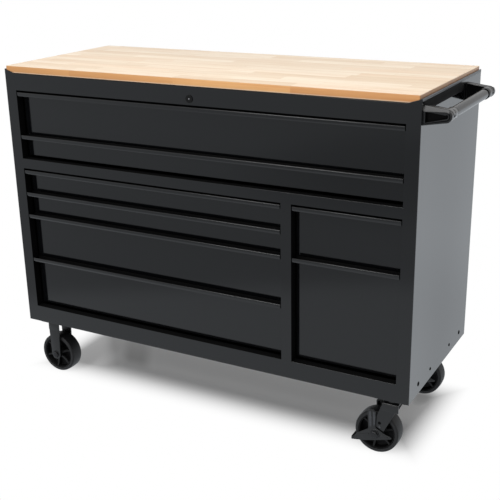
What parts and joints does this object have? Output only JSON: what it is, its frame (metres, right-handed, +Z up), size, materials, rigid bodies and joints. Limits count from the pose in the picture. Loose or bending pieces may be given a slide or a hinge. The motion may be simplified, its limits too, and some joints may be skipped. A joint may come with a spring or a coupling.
{
  "type": "tool cart",
  "caption": "Wide rolling tool cart with a wooden worktop, recessed-front drawers under full-width pulls, a side push handle, rigid casters at one end and braked swivel casters at the other.",
  "frame": {"origin": "on the ground, under the middle of the whole cart with its handle", "axes": "+X along the cart towards the push handle, +Y from the drawer fronts to the back, +Z up"},
  "size_m": [1.394, 0.5224, 1.019],
  "materials": {
    "cabinet_paint": "semi-gloss black powder coat",
    "pull_paint": "satin black",
    "zinc_steel": "zinc plated",
    "worktop_wood": "oiled, glued staves",
    "wheel_rubber": "matte",
    "caster_steel": "black, satin",
    "grip_metal": "satin dark grey",
    "black_plastic": "moulded"
  },
  "bodies": {
    "cabinet": {"front_frame": "cabinet_paint", "side_panel_left": "cabinet_paint", "side_panel_right": "cabinet_paint", "back_panel": "cabinet_paint", "floor_pan": "cabinet_paint", "top_panel": "cabinet_paint", "worktop": "worktop_wood", "centre_divider": "cabinet_paint", "slide_rack_left": "zinc_steel", "slide_rack_right": "zinc_steel", "slide_rack_divider_left": "zinc_steel", "slide_rack_divider_right": "zinc_steel", "handle_bracket_front": "black_plastic", "handle_bracket_rear": "black_plastic", "handle_grip": "grip_metal", "rigid_caster_front_fork": "caster_steel", "swivel_caster_front_plate": "caster_steel", "rigid_caster_rear_fork": "caster_steel", "swivel_caster_rear_plate": "caster_steel"},
    "upper_drawer_1": {"upper_drawer_1_box": "cabinet_paint", "upper_drawer_1_pull": "pull_paint"},
    "upper_drawer_1_slides": {"upper_drawer_1_slide_left": "zinc_steel", "upper_drawer_1_slide_right": "zinc_steel"},
    "upper_drawer_2": {"upper_drawer_2_box": "cabinet_paint", "upper_drawer_2_pull": "pull_paint"},
    "upper_drawer_2_slides": {"upper_drawer_2_slide_left": "zinc_steel", "upper_drawer_2_slide_right": "zinc_steel"},
    "left_drawer_1": {"left_drawer_1_box": "cabinet_paint", "left_drawer_1_pull": "pull_paint"},
    "left_drawer_1_slides": {"left_drawer_1_slide_left": "zinc_steel", "left_drawer_1_slide_right": "zinc_steel"},
    "left_drawer_2": {"left_drawer_2_box": "cabinet_paint", "left_drawer_2_pull": "pull_paint"},
    "left_drawer_2_slides": {"left_drawer_2_slide_left": "zinc_steel", "left_drawer_2_slide_right": "zinc_steel"},
    "left_drawer_3": {"left_drawer_3_box": "cabinet_paint", "left_drawer_3_pull": "pull_paint"},
    "left_drawer_3_slides": {"left_drawer_3_slide_left": "zinc_steel", "left_drawer_3_slide_right": "zinc_steel"},
    "left_drawer_4": {"left_drawer_4_box": "cabinet_paint", "left_drawer_4_pull": "pull_paint"},
    "left_drawer_4_slides": {"left_drawer_4_slide_left": "zinc_steel", "left_drawer_4_slide_right": "zinc_steel"},
    "right_drawer_1": {"right_drawer_1_box": "cabinet_paint", "right_drawer_1_pull": "pull_paint"},
    "right_drawer_1_slides": {"right_drawer_1_slide_left": "zinc_steel", "right_drawer_1_slide_right": "zinc_steel"},
    "right_drawer_2": {"right_drawer_2_box": "cabinet_paint", "right_drawer_2_pull": "pull_paint"},
    "right_drawer_2_slides": {"right_drawer_2_slide_left": "zinc_steel", "right_drawer_2_slide_right": "zinc_steel"},
    "lock": {"lock_cylinder": "zinc_steel"},
    "rigid_wheel_front": {"rigid_caster_front_wheel": "wheel_rubber"},
    "swivel_fork_front": {"swivel_caster_front_fork": "caster_steel"},
    "swivel_wheel_front": {"swivel_caster_front_wheel": "wheel_rubber"},
    "brake_pedal_front": {"swivel_caster_front_brake_pedal": "black_plastic"},
    "rigid_wheel_rear": {"rigid_caster_rear_wheel": "wheel_rubber"},
    "swivel_fork_rear": {"swivel_caster_rear_fork": "caster_steel"},
    "swivel_wheel_rear": {"swivel_caster_rear_wheel": "wheel_rubber"},
    "brake_pedal_rear": {"swivel_caster_rear_brake_pedal": "black_plastic"}
  },
  "joints": [
    {"name": "upper_drawer_1_travel", "type": "slide", "parent": "cabinet", "child": "upper_drawer_1", "axis": [0, -1, 0], "range_m": [0, 0.4]},
    {"name": "upper_drawer_1_slides_travel", "type": "slide", "parent": "cabinet", "child": "upper_drawer_1_slides", "axis": [0, -1, 0], "range_m": [0, 0.2]},
    {"name": "upper_drawer_2_travel", "type": "slide", "parent": "cabinet", "child": "upper_drawer_2", "axis": [0, -1, 0], "range_m": [0, 0.4]},
    {"name": "upper_drawer_2_slides_travel", "type": "slide", "parent": "cabinet", "child": "upper_drawer_2_slides", "axis": [0, -1, 0], "range_m": [0, 0.2]},
    {"name": "left_drawer_1_travel", "type": "slide", "parent": "cabinet", "child": "left_drawer_1", "axis": [0, -1, 0], "range_m": [0, 0.4]},
    {"name": "left_drawer_1_slides_travel", "type": "slide", "parent": "cabinet", "child": "left_drawer_1_slides", "axis": [0, -1, 0], "range_m": [0, 0.2]},
    {"name": "left_drawer_2_travel", "type": "slide", "parent": "cabinet", "child": "left_drawer_2", "axis": [0, -1, 0], "range_m": [0, 0.4]},
    {"name": "left_drawer_2_slides_travel", "type": "slide", "parent": "cabinet", "child": "left_drawer_2_slides", "axis": [0, -1, 0], "range_m": [0, 0.2]},
    {"name": "left_drawer_3_travel", "type": "slide", "parent": "cabinet", "child": "left_drawer_3", "axis": [0, -1, 0], "range_m": [0, 0.4]},
    {"name": "left_drawer_3_slides_travel", "type": "slide", "parent": "cabinet", "child": "left_drawer_3_slides", "axis": [0, -1, 0], "range_m": [0, 0.2]},
    {"name": "left_drawer_4_travel", "type": "slide", "parent": "cabinet", "child": "left_drawer_4", "axis": [0, -1, 0], "range_m": [0, 0.4]},
    {"name": "left_drawer_4_slides_travel", "type": "slide", "parent": "cabinet", "child": "left_drawer_4_slides", "axis": [0, -1, 0], "range_m": [0, 0.2]},
    {"name": "right_drawer_1_travel", "type": "slide", "parent": "cabinet", "child": "right_drawer_1", "axis": [0, -1, 0], "range_m": [0, 0.4]},
    {"name": "right_drawer_1_slides_travel", "type": "slide", "parent": "cabinet", "child": "right_drawer_1_slides", "axis": [0, -1, 0], "range_m": [0, 0.2]},
    {"name": "right_drawer_2_travel", "type": "slide", "parent": "cabinet", "child": "right_drawer_2", "axis": [0, -1, 0], "range_m": [0, 0.4]},
    {"name": "right_drawer_2_slides_travel", "type": "slide", "parent": "cabinet", "child": "right_drawer_2_slides", "axis": [0, -1, 0], "range_m": [0, 0.2]},
    {"name": "lock_turn", "type": "hinge", "parent": "cabinet", "child": "lock", "pos_m": [-0.037, -0.25885, 0.9635], "axis": [0, 1, 0], "range_deg": [0, 90]},
    {"name": "rigid_wheel_front_roll", "type": "hinge", "parent": "cabinet", "child": "rigid_wheel_front", "pos_m": [-0.609, -0.21535, 0.065], "axis": [0, 1, 0], "continuous": true},
    {"name": "swivel_caster_front_turn", "type": "hinge", "parent": "cabinet", "child": "swivel_fork_front", "pos_m": [0.567, -0.21535, 0.16955], "axis": [0, 0, 1], "continuous": true},
    {"name": "swivel_wheel_front_roll", "type": "hinge", "parent": "swivel_fork_front", "child": "swivel_wheel_front", "pos_m": [0.526, -0.21535, 0.065], "axis": [0, 1, 0], "continuous": true},
    {"name": "brake_pedal_front_lift", "type": "hinge", "parent": "swivel_fork_front", "child": "brake_pedal_front", "pos_m": [0.526, -0.21535, 0.065], "axis": [0, 1, 0], "range_deg": [0, 18]},
    {"name": "rigid_wheel_rear_roll", "type": "hinge", "parent": "cabinet", "child": "rigid_wheel_rear", "pos_m": [-0.609, 0.16915, 0.065], "axis": [0, 1, 0], "continuous": true},
    {"name": "swivel_caster_rear_turn", "type": "hinge", "parent": "cabinet", "child": "swivel_fork_rear", "pos_m": [0.567, 0.16915, 0.16955], "axis": [0, 0, 1], "continuous": true},
    {"name": "swivel_wheel_rear_roll", "type": "hinge", "parent": "swivel_fork_rear", "child": "swivel_wheel_rear", "pos_m": [0.526, 0.16915, 0.065], "axis": [0, 1, 0], "continuous": true},
    {"name": "brake_pedal_rear_lift", "type": "hinge", "parent": "swivel_fork_rear", "child": "brake_pedal_rear", "pos_m": [0.526, 0.16915, 0.065], "axis": [0, 1, 0], "range_deg": [0, 18]}
  ],
  "couplings": [
    {"joint": "upper_drawer_1_slides_travel", "follows": "upper_drawer_1_travel", "ratio": 0.5},
    {"joint": "upper_drawer_2_slides_travel", "follows": "upper_drawer_2_travel", "ratio": 0.5},
    {"joint": "left_drawer_1_slides_travel", "follows": "left_drawer_1_travel", "ratio": 0.5},
    {"joint": "left_drawer_2_slides_travel", "follows": "left_drawer_2_travel", "ratio": 0.5},
    {"joint": "left_drawer_3_slides_travel", "follows": "left_drawer_3_travel", "ratio": 0.5},
    {"joint": "left_drawer_4_slides_travel", "follows": "left_drawer_4_travel", "ratio": 0.5},
    {"joint": "right_drawer_1_slides_travel", "follows": "right_drawer_1_travel", "ratio": 0.5},
    {"joint": "right_drawer_2_slides_travel", "follows": "right_drawer_2_travel", "ratio": 0.5}
  ]
}
